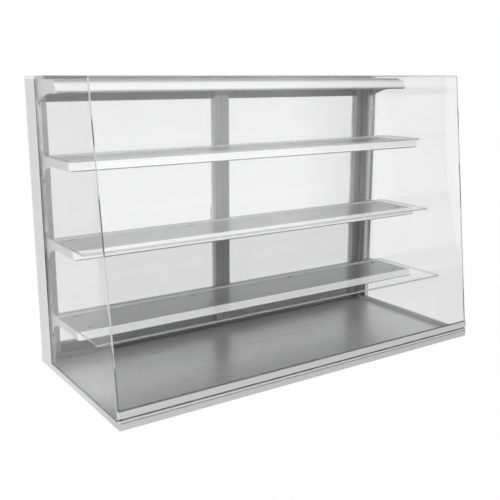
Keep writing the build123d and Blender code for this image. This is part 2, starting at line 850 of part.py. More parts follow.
def shelf_glass(name):
    """Glass shelf."""
    x1 = half_width - end_glass_thickness - shelf_glass_side_gap
    level = shelf_levels[name]
    y0 = column_front - shelf_reach[name]
    plate = box(-x1, x1, y0, shelf_glass_rear, level - shelf_glass_thickness, level)
    return chamfer(plate.edges().filter_by(Axis.X), shelf_glass_chamfer)


def shelf_bumpers():
    """Clear discs between the trays and the glass shelves."""
    x_end = tray_end - bumper_end_distance
    discs = []
    for top in arm_tops.values():
        for x in spread(bumpers_per_row, -x_end, x_end):
            for y in (tray_front + bumper_front_inset, shelf_glass_rear - bumper_rear_inset):
                discs.append(rod(x, y, top, bumper_radius, bumper_height, (0, 0, 1)))
    return group(discs)


# ---- write every piece ----
os.makedirs("parts", exist_ok=True)

save(base_pan(), "base_pan")
save(pair(column_foot()), "column_feet")
save(deck_plate(), "deck_plate")
save(base_pads(), "base_pads")

right_column = column()
save(right_column, "right_column")
save(mirrored(right_column), "left_column")
save(pair(column_cap()), "column_caps")
save(door_header(), "door_header")
save(top_rail(), "top_rail")
save(frame_screws(), "frame_screws")
save(door_sill(), "door_sill")
save(pair(jamb_seal()), "jamb_seals")

door_pieces = {
    "door_stiles": door_stiles(),
    "door_rails": door_rails(),
    "door_glass": door_glass(),
    "door_gasket": door_gasket(),
    "door_handle": door_handle(),
    "door_pivots": door_pivots(),
    "door_strike": door_strike(),
}
for piece_name, piece in door_pieces.items():
    save(piece, "right_" + piece_name)
    save(mirrored(piece), "left_" + piece_name)
save(pivot_bushes(), "pivot_bushes")
save(magnetic_catch(), "magnetic_catch")

save(front_glass(), "front_glass")
save(glass_clamp_gasket(), "glass_clamp_gasket")
save(glass_clamp_rail(), "glass_clamp_rail")
save(pair(rail_end_cap()), "rail_end_caps")
save(base_front_rail(), "base_front_rail")
save(base_rail_seal(), "base_rail_seal")
save(pair(base_rail_end_cap()), "base_rail_end_caps")
save(hinge_rod(), "hinge_rod")

right_end_glass = end_glass()
save(right_end_glass, "right_end_glass")
save(mirrored(right_end_glass), "left_end_glass")
save(pair(end_glass_seal()), "end_glass_seals")
save(top_glass(), "top_glass")
save(top_glass_seal(), "top_glass_seal")

cards = [price_card(*canopy_fascia())]
for shelf, arm_top in arm_tops.items():
    save(pair(shelf_arm(arm_top)), shelf + "_shelf_arms")
    save(shelf_tray(arm_top), shelf + "_shelf_tray")
    save(price_rail(*shelf_fascia(arm_top)), shelf + "_shelf_price_rail")
    save(shelf_glass(shelf), shelf + "_shelf_glass")
    cards.append(price_card(*shelf_fascia(arm_top)))
save(shelf_bumpers(), "shelf_bumpers")

save(pair(canopy_arm()), "canopy_arms")
save(canopy_tray(), "canopy_tray")
save(price_rail(*canopy_fascia()), "canopy_price_rail")
save(group(cards), "price_cards")
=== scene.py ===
"""Finishes, glass and studio for a countertop glass display case, laid out as a Blender add-on."""

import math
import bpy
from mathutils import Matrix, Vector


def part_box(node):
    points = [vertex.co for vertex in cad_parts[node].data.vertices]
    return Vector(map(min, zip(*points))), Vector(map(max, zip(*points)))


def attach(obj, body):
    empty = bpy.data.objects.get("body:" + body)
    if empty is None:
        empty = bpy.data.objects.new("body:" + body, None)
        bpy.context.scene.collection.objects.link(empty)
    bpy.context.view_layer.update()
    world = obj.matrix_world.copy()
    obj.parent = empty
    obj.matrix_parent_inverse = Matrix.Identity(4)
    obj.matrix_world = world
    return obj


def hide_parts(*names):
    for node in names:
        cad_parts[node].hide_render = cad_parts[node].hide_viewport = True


bl_info = {
    "name": "Countertop glass display case",
    "version": (1, 0, 0),
    "blender": (4, 5, 0),
    "location": "3D View > Sidebar > Display case",
    "description": "Finishes the metal, glass and trim of a countertop display case and lights it",
    "category": "Object",
}

import bpy
import numpy as np
from bpy.props import FloatProperty, FloatVectorProperty, PointerProperty
from mathutils import Euler, Vector

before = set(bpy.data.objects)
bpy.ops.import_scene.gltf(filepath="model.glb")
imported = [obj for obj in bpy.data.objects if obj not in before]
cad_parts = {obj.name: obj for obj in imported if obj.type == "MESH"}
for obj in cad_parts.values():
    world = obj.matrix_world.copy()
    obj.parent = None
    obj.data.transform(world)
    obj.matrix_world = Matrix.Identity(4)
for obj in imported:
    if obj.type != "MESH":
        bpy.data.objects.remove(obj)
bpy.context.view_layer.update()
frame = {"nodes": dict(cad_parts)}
NODES = frame["nodes"]
SHELVES = ("top", "middle", "bottom")
SIDES = ("left", "right")


# ---- settings a user would change ----
def colour_setting(name, description, value):
    """A colour in the settings, in linear light."""
    return FloatVectorProperty(name=name, description=description, subtype="COLOR", size=3, default=value,
                               min=0.0, max=1.0)


def length_setting(name, description, value):
    """A length in the settings, in metres."""
    return FloatProperty(name=name, description=description, subtype="DISTANCE", unit="LENGTH", default=value,
                         min=0.0)


def share_setting(name, description, value):
    """A share from 0 to 1 in the settings."""
    return FloatProperty(name=name, description=description, subtype="FACTOR", default=value, min=0.0,
                         max=1.0)


def angle_setting(name, description, value):
    """An angle in the settings, in radians."""
    return FloatProperty(name=name, description=description, subtype="ANGLE", unit="ROTATION", default=value)


def strength_setting(name, description, value):
    """A brightness or a lamp's power in the settings, never below nothing."""
    return FloatProperty(name=name, description=description, default=value, min=0.0)


class CaseMetal(bpy.types.PropertyGroup):
    """Colours and finish of the metal pieces."""

    sheet: colour_setting("Sheet steel", "Trays", (0.35, 0.35, 0.357))
    deck: colour_setting("Deck", "Deck plate", (0.62, 0.62, 0.63))
    arms: colour_setting("Arms", "Hook-in arms of the shelves", (0.50, 0.50, 0.507))
    columns: colour_setting("Columns", "Slotted columns", (0.65, 0.65, 0.658))
    frame: colour_setting("Frame", "Header, top rail and sill", (0.24, 0.24, 0.244))
    doors: colour_setting("Door frames", "Uprights of the doors", (0.33, 0.33, 0.334))
    door_rails: colour_setting("Door rails", "Cross rails of the doors", (0.11, 0.11, 0.112))
    base: colour_setting("Base", "Base pan and column feet", (0.50, 0.50, 0.505))
    rails: colour_setting("Glass rails", "Rails along the front, and end caps", (0.66, 0.66, 0.665))
    price_rails: colour_setting("Price rails", "Rails along the front of the trays", (0.86, 0.86, 0.86))
    # painted shade: the canopy's rail is the same kind as the shelves' price rails, given a darker copy of
    # their colour
    canopy_rail_shaded: colour_setting("Canopy rail", "Rail along the front of the canopy", (0.60, 0.60, 0.60))
    fittings: colour_setting("Fittings", "Screws, pins, strikes and handles", (0.55, 0.55, 0.56))
    roughness: share_setting("Roughness", "Roughness of the brushed metal", 0.34)
    wear: share_setting("Edge wear", "How much brighter the handled edges are", 0.25)


class CaseGlass(bpy.types.PropertyGroup):
    """Colours and edge finish of the panes."""

    tint: colour_setting("Tint", "Colour of the clear glass", (0.985, 0.988, 0.986))
    door_tint: colour_setting("Door tint", "Colour of the door panes", (0.80, 0.802, 0.801))
    edge: colour_setting("Door edge", "Colour of the door panes' ground edges", (0.40, 0.412, 0.406))
    front_edge: colour_setting("Front edge", "Colour of the front glass's ground edges", (0.42, 0.426, 0.423))
    shelf_edge: colour_setting("Shelf edge", "Colour of the shelves' ground edges", (0.42, 0.426, 0.423))
    arris: length_setting("Arris", "Width of the ground bevel along each pane's edge", 0.0007)
    corner: length_setting("Corner", "Radius of the panes' corners", 0.002)
    ior: FloatProperty(name="Refraction", description="Index of refraction, which also sets the reflection",
                       default=1.6, min=1.0, max=2.5)
    end_share: share_setting("End panes", "How strongly the coated end panes show", 0.2)
    top_share: share_setting("Top pane", "How strongly the coated top pane shows", 0.4)
    shelf_share: share_setting("Shelf panes", "How strongly the coated glass shelves show", 0.10)


class CaseTrim(bpy.types.PropertyGroup):
    """Colours of the seals, cards and plastic pieces."""

    rubber: colour_setting("Rubber", "Strip under the base rail, and pads", (0.016, 0.016, 0.017))
    grey_rubber: colour_setting("Grey seals", "Jamb seals and front glass gasket", (0.20, 0.20, 0.203))
    light_rubber: colour_setting("Light gaskets", "Glazing gaskets of the door panes", (0.80, 0.80, 0.80))
    card: colour_setting("Price cards", "Cards in the price rails", (0.77, 0.77, 0.77))
    bush: colour_setting("Bushes", "Nylon bushes of the door pins", (0.70, 0.68, 0.62))
    clear: colour_setting("Clear plastic", "Bumpers and clear seals", (0.90, 0.92, 0.92))


class CaseStudio(bpy.types.PropertyGroup):
    """Camera, lamps and background."""

    camera_place: FloatVectorProperty(name="Camera", description="Where the camera stands", unit="LENGTH",
                                      subtype="TRANSLATION", size=3, default=(-1.2565, -1.7932, 0.8179))
    lens: FloatProperty(name="Lens", description="Focal length in millimetres", default=54.31, min=10.0)
    pitch: angle_setting("Pitch", "How far the camera looks down", 0.2293)
    heading: angle_setting("Heading", "How far the camera turns to its right", 0.5938)
    roll: angle_setting("Roll", "How far the camera leans", 0.0012)
    sky: strength_setting("Upper light", "Brightness of the studio above eye level", 1.0)
    ground: strength_setting("Lower light", "Brightness of the studio below eye level", 0.30)
    front_band: strength_setting("Front window", "Brightness of the front light band, in reflections", 2.1)
    foreground: strength_setting("Foreground", "Brightness of the floor in front, in reflections", 0.30)
    key: strength_setting("Side light", "Power of the large side lamp, in watts", 226.0)
    fill: strength_setting("Front light", "Power of the low lamp in front, in watts", 16.0)


SETTINGS = {"case_metal": CaseMetal, "case_glass": CaseGlass, "case_trim": CaseTrim,
            "case_studio": CaseStudio}

WHITE = (1.0, 1.0, 1.0, 1.0)
DUST = (0.52, 0.51, 0.49, 1.0)
RAIL_PAINTED_SHADE = (0.0266, 0.0314)          # heights between the two hinged front rails, darkened there as painted shade
PAINTED_DARK_EDGE = ((0.661, 0.718), (0.412, 0.545), (0.176, 0.184), (0.0, 0.153))    # heights on the front glass's edge where a dark reflection is painted


# ---- node building ----
def feed(tree, socket, value):
    """Set an input to a value, or link it from a socket."""
    if isinstance(value, bpy.types.NodeSocket):
        tree.links.new(value, socket)
    else:
        socket.default_value = value


def add_node(tree, kind, inputs=None, **settings):
    """New node with its settings and its inputs."""
    new = tree.nodes.new(kind)
    for key, value in settings.items():
        setattr(new, key, value)
    for key, value in (inputs or {}).items():
        feed(tree, new.inputs[key], value)
    return new


def maths(tree, operation, a, b=0.0):
    """Result of one operation on two values or sockets."""
    return add_node(tree, "ShaderNodeMath", {0: a, 1: b}, operation=operation).outputs[0]


def ramp(tree, value, low, high, to_low=0.0, to_high=1.0):
    """Value carried from one range to another, held at its ends."""
    inputs = {"Value": value, "From Min": low, "From Max": high, "To Min": to_low, "To Max": to_high}
    return add_node(tree, "ShaderNodeMapRange", inputs, clamp=True).outputs["Result"]


def mix_colour(tree, share, a, b):
    """Mix of two colours by a share."""
    new = add_node(tree, "ShaderNodeMix", data_type="RGBA")
    for key, value in (("Factor_Float", share), ("A_Color", a), ("B_Color", b)):
        feed(tree, next(s for s in new.inputs if s.identifier == key), value)
    return next(s for s in new.outputs if s.identifier == "Result_Color")


def noise(tree, place, scale, detail, **more):
    """Value of a noise pattern, with any further inputs by name."""
    inputs = {"Vector": place, "Scale": scale, "Detail": detail, **more}
    return add_node(tree, "ShaderNodeTexNoise", inputs).outputs["Fac"]


def axis_part(tree, vector, axis):
    """One part of a vector: X, Y or Z."""
    return add_node(tree, "ShaderNodeSeparateXYZ", {"Vector": vector}).outputs[axis]


def times(tree, a, b):
    """Product of two vectors, part by part."""
    return add_node(tree, "ShaderNodeVectorMath", {0: a, 1: b}, operation="MULTIPLY").outputs[0]


def group(name, inputs, outputs):
    """New shader node group: inputs and outputs are lists of (name, kind, default)."""
    tree = bpy.data.node_groups.new(name, "ShaderNodeTree")
    for in_out, sockets in (("INPUT", inputs), ("OUTPUT", outputs)):
        for label, kind, default in sockets:
            socket = tree.interface.new_socket(label, in_out=in_out, socket_type="NodeSocket" + kind)
            if default is not None:
                socket.default_value = default
    return tree, tree.nodes.new("NodeGroupInput").outputs, tree.nodes.new("NodeGroupOutput").inputs


def use_group(tree, name, **inputs):
    """Outputs of a node group placed in a tree."""
    new = tree.nodes.new("ShaderNodeGroup")
    new.node_tree = bpy.data.node_groups[name]
    for key, value in inputs.items():
        feed(tree, new.inputs[key], value)
    return new.outputs


# ---- shared effects ----
def make_grain_group():
    """Brushing: fine noise and broader bands, both drawn out along the brushing's direction.

    Density holds how fast the pattern changes along each axis, in cycles per metre.
    """
    tree, given, made = group("Brushed grain",
                              [("Place", "Vector", None), ("Density", "Vector", (4, 700, 700))],
                              [("Streaks", "Float", None), ("Bands", "Float", None)])
    fine_place = times(tree, given["Place"], given["Density"])
    broad_place = add_node(tree, "ShaderNodeVectorMath", {0: fine_place, "Scale": 0.07},
                           operation="SCALE").outputs[0]
    fine = noise(tree, fine_place, 1.0, 3.0, Roughness=0.65)
    broad = noise(tree, broad_place, 1.0, 2.0)
    tree.links.new(ramp(tree, fine, 0.25, 0.75), made["Streaks"])
    tree.links.new(ramp(tree, broad, 0.3, 0.7), made["Bands"])


def make_marks_group():
    """Handling marks: soft patches with a broken edge, where hands and cloths have been."""
    tree, given, made = group("Handling marks", [("Place", "Vector", None), ("Size", "Float", 0.12)],
                              [("Marks", "Float", None)])
    scale = maths(tree, "DIVIDE", 1.0, given["Size"])
    patches = noise(tree, given["Place"], scale, 4.0, Roughness=0.6, Distortion=0.6)
    smears = noise(tree, given["Place"], maths(tree, "MULTIPLY", scale, 5.0), 3.0)
    broken = maths(tree, "MULTIPLY", ramp(tree, patches, 0.48, 0.66), ramp(tree, smears, 0.3, 0.7, 0.4, 1.0))
    tree.links.new(broken, made["Marks"])


def make_edge_group():
    """Handled edges: a rounded normal along the edges, and a mask of where it leaves the flat faces."""
    tree, given, made = group("Handled edges", [("Radius", "Float", 0.0006)],
                              [("Edge", "Float", None), ("Normal", "Vector", None)])
    rounded = add_node(tree, "ShaderNodeBevel", {"Radius": given["Radius"]}, samples=4).outputs["Normal"]
    flat = add_node(tree, "ShaderNodeNewGeometry").outputs["Normal"]
    along = add_node(tree, "ShaderNodeVectorMath", {0: rounded, 1: flat},
                     operation="DOT_PRODUCT").outputs["Value"]
    tree.links.new(ramp(tree, along, 0.995, 0.90), made["Edge"])
    tree.links.new(rounded, made["Normal"])


def make_dust_group():
    """Fine dust that settles on faces that look up."""
    tree, given, made = group("Settled dust", [("Place", "Vector", None), ("Amount", "Float", 0.1)],
                              [("Dust", "Float", None)])
    facing = add_node(tree, "ShaderNodeNewGeometry").outputs["Normal"]
    up = axis_part(tree, facing, "Z")
    specks = noise(tree, given["Place"], 180.0, 4.0, Roughness=0.7)
    drifts = noise(tree, given["Place"], 7.0, 2.0)
    cover = maths(tree, "MULTIPLY", ramp(tree, specks, 0.45, 0.75), ramp(tree, drifts, 0.35, 0.65))
    cover = maths(tree, "MULTIPLY", cover, ramp(tree, up, 0.6, 0.95))
    tree.links.new(maths(tree, "MULTIPLY", cover, given["Amount"]), made["Dust"])


# ---- materials ----
def new_material(name):
    """Empty material: its tree, its Principled node, its output and the Object coordinates."""
    made = bpy.data.materials.new(name)
    made.use_nodes = True
    tree = made.node_tree
    tree.nodes.clear()
    place = add_node(tree, "ShaderNodeTexCoord").outputs["Object"]
    shader = add_node(tree, "ShaderNodeBsdfPrincipled")
    output = add_node(tree, "ShaderNodeOutputMaterial", {"Surface": shader.outputs[0]})
    return made, tree, shader, output, place


def rgba(colour, factor=1.0):
    """Four channels from a settings colour, made lighter or darker by a factor."""
    return (*[min(channel * factor, 1.0) for channel in colour], 1.0)


def bump(tree, shader, height, distance, normal=None):
    """Bump from a height, on top of a normal."""
    inputs = {"Height": height, "Distance": distance, "Strength": 1.0}
    if normal is not None:
        inputs["Normal"] = normal
    tree.links.new(add_node(tree, "ShaderNodeBump", inputs).outputs[0], shader.inputs["Normal"])


def brushed_metal(name, colour, roughness, density, dust=0.0, metallic=1.0, painted_shade_band=None, relief=0.000012,
                  contrast=1.0):
    """Brushed or satin metal: streaks along the brushing, handling marks, brighter edges and a little dust.

    painted_shade_band is a range of heights whose colour is darkened as painted shade, as between two hinged
    rails, relief is the depth of the brushing, and contrast is how strongly it shows in the colour and the
    gloss.
    """
    _, tree, shader, _, place = new_material(name)
    wear = bpy.context.scene.case_metal.wear
    grain = use_group(tree, "Brushed grain", Place=place, Density=density)
    marks = use_group(tree, "Handling marks", Place=place, Size=0.11)["Marks"]
    edges = use_group(tree, "Handled edges", Radius=0.0006)
    pattern = maths(tree, "ADD", maths(tree, "MULTIPLY", grain["Streaks"], 0.55),
                    maths(tree, "MULTIPLY", grain["Bands"], 0.45))
    body = mix_colour(tree, pattern, rgba(colour, 1.0 - 0.07 * contrast), rgba(colour, 1.0 + 0.07 * contrast))
    edge_share = maths(tree, "MULTIPLY", edges["Edge"], wear)
    body = mix_colour(tree, edge_share, body, rgba(colour, 1.45))
    spread = 0.045 * contrast
    rough = maths(tree, "ADD", ramp(tree, pattern, 0.0, 1.0, roughness - spread, roughness + spread),
                  maths(tree, "MULTIPLY", marks, 0.05))
    if dust:
        cover = use_group(tree, "Settled dust", Place=place, Amount=dust)["Dust"]
        body = mix_colour(tree, cover, body, DUST)
        rough = maths(tree, "ADD", rough, maths(tree, "MULTIPLY", cover, 0.3))
    # painted shade: the colour is darkened within a band of heights, as between the two hinged rails
    if painted_shade_band:
        height = axis_part(tree, place, "Z")
        inside = maths(tree, "MULTIPLY", maths(tree, "GREATER_THAN", height, painted_shade_band[0]),
                       maths(tree, "LESS_THAN", height, painted_shade_band[1]))
        body = mix_colour(tree, inside, body, rgba(colour, 0.3))
    tree.links.new(body, shader.inputs["Base Color"])
    tree.links.new(rough, shader.inputs["Roughness"])
    shader.inputs["Metallic"].default_value = metallic
    bump(tree, shader, grain["Streaks"], relief, edges["Normal"])


def turned_steel(name, colour, roughness):
    """Plated fittings: even fine grain, faint stains and brighter edges."""
    _, tree, shader, _, place = new_material(name)
    speckle = noise(tree, place, 900.0, 3.0)
    marks = use_group(tree, "Handling marks", Place=place, Size=0.02)["Marks"]
    edges = use_group(tree, "Handled edges", Radius=0.0004)
    body = mix_colour(tree, ramp(tree, speckle, 0.3, 0.7), rgba(colour, 0.92), rgba(colour, 1.06))
    body = mix_colour(tree, maths(tree, "MULTIPLY", edges["Edge"], 0.35), body, rgba(colour, 1.5))
    tree.links.new(body, shader.inputs["Base Color"])
    tree.links.new(ramp(tree, marks, 0.0, 1.0, roughness, roughness + 0.1), shader.inputs["Roughness"])
    shader.inputs["Metallic"].default_value = 1.0
    bump(tree, shader, speckle, 0.000008, edges["Normal"])


def moulded(name, colour, roughness, grain_scale=700.0, depth=0.00004):
    """Moulded rubber or plastic: fine pebble grain, slight fading and softened edges."""
    _, tree, shader, _, place = new_material(name)
    pebble = add_node(tree, "ShaderNodeTexVoronoi", {"Vector": place, "Scale": grain_scale},
                      feature="SMOOTH_F1").outputs["Distance"]
    fade = noise(tree, place, 22.0, 3.0)
    edges = use_group(tree, "Handled edges", Radius=0.0006)
    body = mix_colour(tree, ramp(tree, fade, 0.3, 0.7), rgba(colour, 0.85), rgba(colour, 1.2))
    body = mix_colour(tree, maths(tree, "MULTIPLY", edges["Edge"], 0.3), body, rgba(colour, 1.9))
    tree.links.new(body, shader.inputs["Base Color"])
    tree.links.new(ramp(tree, fade, 0.3, 0.7, roughness - 0.05, roughness + 0.07), shader.inputs["Roughness"])
    bump(tree, shader, pebble, depth, edges["Normal"])


def card_stock(name, colour):
    """Plain card: paper fibres and a faint unevenness."""
    _, tree, shader, _, place = new_material(name)
    fibres = noise(tree, times(tree, place, (180.0, 700.0, 700.0)), 1.0, 5.0)
    body = mix_colour(tree, ramp(tree, fibres, 0.3, 0.7), rgba(colour, 0.96), rgba(colour, 1.03))
    tree.links.new(body, shader.inputs["Base Color"])
    tree.links.new(ramp(tree, fibres, 0.3, 0.7, 0.55, 0.7), shader.inputs["Roughness"])
    bump(tree, shader, fibres, 0.00002)


def let_lamps_through(tree, shader, output):
    """Lamps and soft light pass a pane straight, and everything else sees the glass itself."""
    clear = add_node(tree, "ShaderNodeBsdfTransparent", {"Color": (0.95, 0.95, 0.95, 1.0)}).outputs[0]
    path = add_node(tree, "ShaderNodeLightPath").outputs
    inner = add_node(tree, "ShaderNodeMixShader", {0: path["Is Diffuse Ray"], 1: shader.outputs[0], 2: clear})
    outer = add_node(tree, "ShaderNodeMixShader", {0: path["Is Shadow Ray"], 1: inner.outputs[0], 2: clear})
    tree.links.new(outer.outputs[0], output.inputs["Surface"])


def clear_glass(name, colour, ior=1.5, share=1.0, roughness=0.0):
    """Clear glass with a little tint and wiped streaks; share is what an anti-glare coat leaves to see."""
    _, tree, shader, output, place = new_material(name)
    marks = use_group(tree, "Handling marks", Place=place, Size=0.16)["Marks"]
    body = mix_colour(tree, marks, rgba(colour), rgba(colour, 0.985))
    tree.links.new(body, shader.inputs["Base Color"])
    tree.links.new(ramp(tree, marks, 0.0, 1.0, roughness, roughness + 0.012), shader.inputs["Roughness"])
    shader.inputs["Transmission Weight"].default_value = 1.0
    shader.inputs["IOR"].default_value = ior
    shader.inputs["Alpha"].default_value = share
    let_lamps_through(tree, shader, output)


def ground_edge(name, colour, transmission=0.3, roughness=0.28, share=1.0, painted_dark_stretches=(), inner_light=1.0,
                end_shade=1.0):
    """Ground or polished edge of a pane, with the fine lines of the wheel along it.

    painted_dark_stretches are ranges of height in which a dark reflection is painted into the edge's colour,
    inner_light is how much paler the edge is painted, as painted light, where it is seen through its own
    pane, and end_shade is the share of the colour left on the edges at the pane's two ends, as painted shade.
    """
    _, tree, shader, output, place = new_material(name)
    lines = noise(tree, place, 420.0, 3.0)
    body = mix_colour(tree, ramp(tree, lines, 0.3, 0.7), rgba(colour, 0.94), rgba(colour, 1.04))
    # painted reflection: the edge's colour is darkened within the listed heights
    if painted_dark_stretches:
        height = axis_part(tree, place, "Z")
        dark = 0.0
        for low, high in painted_dark_stretches:
            inside = maths(tree, "MULTIPLY", ramp(tree, height, low - 0.006, low + 0.006),
                           ramp(tree, height, high + 0.006, high - 0.006))
            dark = maths(tree, "MAXIMUM", dark, inside)
        body = mix_colour(tree, dark, body, rgba(colour, 0.2))
    # painted light and shade: the edge is painted paler where it is seen through its own pane, and darker on
    # the pane's ends
    if inner_light != 1.0 or end_shade != 1.0:
        surface = add_node(tree, "ShaderNodeNewGeometry").outputs
        sideways = maths(tree, "ABSOLUTE", axis_part(tree, surface["Normal"], "X"))
        at_end = ramp(tree, sideways, 0.5, 0.8)
        body = mix_colour(tree, at_end, body, rgba(colour, end_shade))
        body = mix_colour(tree, surface["Backfacing"], body, rgba(colour, inner_light))
    tree.links.new(body, shader.inputs["Base Color"])
    rough = ramp(tree, lines, 0.3, 0.7, roughness - 0.05, roughness + 0.05)
    tree.links.new(rough, shader.inputs["Roughness"])
    shader.inputs["Transmission Weight"].default_value = transmission
    shader.inputs["Alpha"].default_value = share
    let_lamps_through(tree, shader, output)


def give(node_name, material):
    """Put a material in every slot of a CAD node."""
    for slot in NODES[node_name].material_slots:
        slot.material = material


def give_all(node_names, material):
    """Put one material on several CAD nodes."""
    for node_name in node_names:
        give(node_name, material)


def material(name):
    """Material by its name."""
    return bpy.data.materials[name]


# ---- new meshes ----
def mesh_piece(name, points, faces, slots=None, materials=()):
    """Object made from arrays of points and faces, with its place in its mesh."""
    mesh = bpy.data.meshes.new(name)
    mesh.from_pydata(points.tolist(), [], [list(face) for face in faces])
    for made in materials:
        mesh.materials.append(made)
    if slots is not None:
        mesh.polygons.foreach_set("material_index", np.asarray(slots, dtype=np.int32))
    mesh.update()
    piece = bpy.data.objects.new(name, mesh)
    bpy.context.scene.collection.objects.link(piece)
    return piece


def rounded_outline(corners, radius, steps=5):
    """Convex outline with its corners rounded, and the outward direction at each point.

    At a corner between edges with outward directions n1 and n2, the arc's centre is
    corner - radius * (n1 + n2) / (1 + n1.n2), and its points run from n1 to n2 at even angles.
    """
    corners = np.asarray(corners, dtype=float)
    edges = np.roll(corners, -1, axis=0) - corners
    outward = np.stack([edges[:, 1], -edges[:, 0]], axis=1)
    outward /= np.linalg.norm(outward, axis=1, keepdims=True)
    before = np.roll(outward, 1, axis=0)
    centres = corners - radius * (before + outward) / (1.0 + (before * outward).sum(axis=1, keepdims=True))
    start = np.arctan2(before[:, 1], before[:, 0])
    turn = (np.arctan2(outward[:, 1], outward[:, 0]) - start) % (2 * math.pi)
    angles = start[:, None] + turn[:, None] * np.linspace(0.0, 1.0, steps)[None, :]
    directions = np.stack([np.cos(angles), np.sin(angles)], axis=2)
    points = centres[:, None, :] + radius * directions
    return points.reshape(-1, 2), directions.reshape(-1, 2)


def tube_faces(count, rings):
    """Faces of a tube closed at both ends: quads between its rings of points, then its two end faces."""
    here = np.arange(count)
    ahead = (here + 1) % count
    starts = np.arange(rings - 1)[:, None] * count
    quads = np.stack([here + starts, here + starts + count, ahead + starts + count, ahead + starts], axis=2)
    return [*quads.reshape(-1, 4).tolist(), here.tolist(), (here[::-1] + count * (rings - 1)).tolist()]


def pane(name, corners, thickness, arris, corner_radius, origin, across, along, materials):
    """Pane with ground edges: the outline carried through the thickness, drawn in at both faces by the arris.

    corners are (across, along) places in the pane's own plane, counter-clockwise seen from its front, and
    a point is origin + a * across + b * along + depth * (across x along).
    """
    outline, outward = rounded_outline(corners, corner_radius)
    half = thickness / 2
    insets = np.array([arris, 0.0, 0.0, arris])
    depths = np.array([half, half - arris, arris - half, -half])
    flat = outline[None, :, :] - insets[:, None, None] * outward[None, :, :]
    across, along = np.asarray(across, dtype=float), np.asarray(along, dtype=float)
    front = np.cross(across, along)
    points = (np.asarray(origin, dtype=float) + flat[..., :1] * across + flat[..., 1:] * along
              + depths[:, None, None] * front)
    faces = tube_faces(len(outline), len(depths))
    slots = [1] * (len(faces) - 2) + [0, 0]
    return mesh_piece(name, points.reshape(-1, 3), faces, slots, materials)


def section_corners(node_name, axis):
    """Corners of a straight-cut node seen along an axis, counter-clockwise, from its own points."""
    mesh = NODES[node_name].data
    places = np.empty(len(mesh.vertices) * 3)
    mesh.vertices.foreach_get("co", places)
    seen = np.unique(np.round(np.delete(places.reshape(-1, 3), axis, axis=1), 5), axis=0)
    middle = seen.mean(axis=0)
    order = np.argsort(np.arctan2(seen[:, 1] - middle[1], seen[:, 0] - middle[0]))
    return seen[order]


def glass_materials(body, edge="Ground edge"):
    """The two materials of a pane: faces and edges."""
    return [material(body), material(edge)]


def finish_pane(piece, node_name, body):
    """A pane that stands for its CAD node and moves with it."""
    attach(piece, body)
    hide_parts(node_name)
    return piece


def box_pane(name, node_name, body, flat_axes, materials):
    """Pane made inside its CAD node's box; flat_axes are the two axes of its plane, in turning order."""
    settings = bpy.context.scene.case_glass
    low, high = (np.array(corner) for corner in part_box(node_name))
    a, b = flat_axes
    depth = 3 - a - b
    corners = [(low[a], low[b]), (high[a], low[b]), (high[a], high[b]), (low[a], high[b])]
    units = np.eye(3)
    origin = units[depth] * (low[depth] + high[depth]) / 2
    piece = pane(name, corners, high[depth] - low[depth], settings.arris, settings.corner, origin, units[a],
                 units[b], materials)
    return finish_pane(piece, node_name, body)


def lathe(profile, steps, centres):
    """Turned pieces: a profile of (radius, height) carried round a vertical axis at each of several centres.

    A point is centre + (radius cos t, radius sin t, height), for t from 0 to a full turn.
    """
    profile = np.asarray(profile, dtype=float)
    turn = np.linspace(0.0, 2 * math.pi, steps, endpoint=False)
    ring = np.stack([np.cos(turn), np.sin(turn)], axis=1)
    wall = np.concatenate([profile[:, None, :1] * ring[None, :, :],
                           np.broadcast_to(profile[:, None, 1:], (len(profile), steps, 1))], axis=2)
    one = wall.reshape(-1, 3)
    here = np.arange(steps)
    ahead = (here + 1) % steps
    rings = np.arange(len(profile) - 1)[:, None] * steps
    quads = np.stack([here + rings, ahead + rings, ahead + rings + steps, here + rings + steps], axis=2)
    quads = quads.reshape(-1, 4)
    centres = np.asarray(centres, dtype=float)
    points = (one[None, :, :] + centres[:, None, :]).reshape(-1, 3)
    shifts = np.arange(len(centres)) * len(one)
    faces = (quads[None, :, :] + shifts[:, None, None]).reshape(-1, 4).tolist()
    foot, head = here[::-1], here + steps * (len(profile) - 1)
    for shift in shifts:
        faces.append(list(foot + shift))
        faces.append(list(head + shift))
    return points, faces


def swept_bar(path, across, width, depth, corner, steps=5):
    """Bar of rounded section carried along a flat path.

    The section is a rounded rectangle, width along the across direction and depth along the path's own
    normal, and a point is path(s) + u * across + v * normal(s).
    """
    half_w, half_d = width / 2, depth / 2
    section, _ = rounded_outline([(-half_w, -half_d), (half_w, -half_d), (half_w, half_d), (-half_w, half_d)],
                                 corner, steps)
    path = np.asarray(path, dtype=float)
    tangent = np.gradient(path, axis=0)
    tangent /= np.linalg.norm(tangent, axis=1, keepdims=True)
    across = np.asarray(across, dtype=float)
    normal = np.cross(tangent, across)
    points = (path[:, None, :] + section[None, :, :1] * across
              + section[None, :, 1:] * normal[:, None, :])
    return points.reshape(-1, 3), tube_faces(len(section), len(path))


def shade_smooth(piece, angle=math.radians(35)):
    """Smooth shading, kept sharp at edges past an angle."""
    piece.data.polygons.foreach_set("use_smooth", [True] * len(piece.data.polygons))
    piece.data.set_sharp_from_angle(angle=angle)


# ---- operators, one for each piece or group of like pieces ----
class CaseStep(bpy.types.Operator):
    """Shared settings of the case's operators."""

    bl_options = {"REGISTER", "UNDO"}


